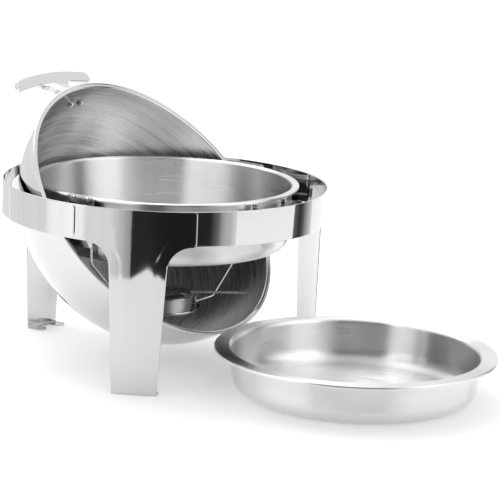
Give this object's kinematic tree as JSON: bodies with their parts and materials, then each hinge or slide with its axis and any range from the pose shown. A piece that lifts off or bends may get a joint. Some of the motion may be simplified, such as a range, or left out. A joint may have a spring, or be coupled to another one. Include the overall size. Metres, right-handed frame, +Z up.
{
  "type": "roll top chafer",
  "caption": "Round roll top chafer: band ring on sheet legs, dome lid turning on side pivots, hung water pan, burner in a wire cradle, food pan set beside it.",
  "frame": {"origin": "middle of the set's footprint on the table: on the chafer's plane of symmetry, halfway between the food pan's front edge and the back leg", "axes": "+Z up; -Y towards the serving side, where the food pan stands; X along the lid's pivot axis"},
  "size_m": [0.4752, 0.7678, 0.3923],
  "materials": {
    "polished_steel": "mirror-polished stainless sheet",
    "satin_steel": "satin stainless sheet",
    "bright_wire": "bright plated wire",
    "dark_steel": "plain turned steel",
    "cast_handle": "polished casting",
    "bumper_rubber": "matte"
  },
  "bodies": {
    "stand": {"frame_band": "polished_steel", "leg_left": "polished_steel", "leg_right": "polished_steel", "leg_back": "polished_steel", "hinge_plate_left": "polished_steel", "hinge_plate_right": "polished_steel", "pivot_pin_left": "dark_steel", "pivot_pin_right": "dark_steel", "pivot_spacers": "dark_steel", "pivot_nuts": "dark_steel", "pan_hanger_left": "satin_steel", "pan_hanger_right": "satin_steel", "hanger_rivets": "polished_steel", "lid_stops": "dark_steel", "front_bracket": "satin_steel", "front_rivets": "polished_steel", "pan_rest_pads": "satin_steel", "lid_bumpers": "bumper_rubber", "cradle_wire_left": "bright_wire", "cradle_wire_right": "bright_wire", "burner_tray": "polished_steel"},
    "lid": {"lid_shell": "polished_steel", "lid_ear_left": "satin_steel", "lid_ear_right": "satin_steel", "ear_rivets": "polished_steel", "lid_handle": "cast_handle", "handle_screws": "polished_steel", "handle_washers": "polished_steel"},
    "water_pan_body": {"water_pan": "satin_steel"},
    "food_pan_body": {"food_pan": "satin_steel"},
    "burner": {"burner_cup": "polished_steel", "snuffer_pin": "dark_steel"},
    "snuffer": {"snuffer_cover": "polished_steel", "snuffer_handle": "bright_wire"}
  },
  "joints": [
    {"name": "lid_hinge", "type": "hinge", "parent": "stand", "child": "lid", "pos_m": [0, 0.14622, 0.234], "axis": [1, 0, 0], "range_deg": [0, 131]},
    {"name": "water_pan_lift", "type": "slide", "parent": "stand", "child": "water_pan_body", "axis": [0, 0, 1], "range_m": [0, 0.02]},
    {"name": "food_pan_lift", "type": "slide", "parent": "stand", "child": "food_pan_body", "axis": [0, 0, 1], "range_m": [0, 0.09]},
    {"name": "burner_lift", "type": "slide", "parent": "stand", "child": "burner", "axis": [0, 0, 1], "range_m": [0, 0.03]},
    {"name": "snuffer_swing", "type": "hinge", "parent": "burner", "child": "snuffer", "pos_m": [-0.03741, 0.18235, 0.09], "axis": [0, 0, -1], "range_deg": [0, 35]}
  ]
}
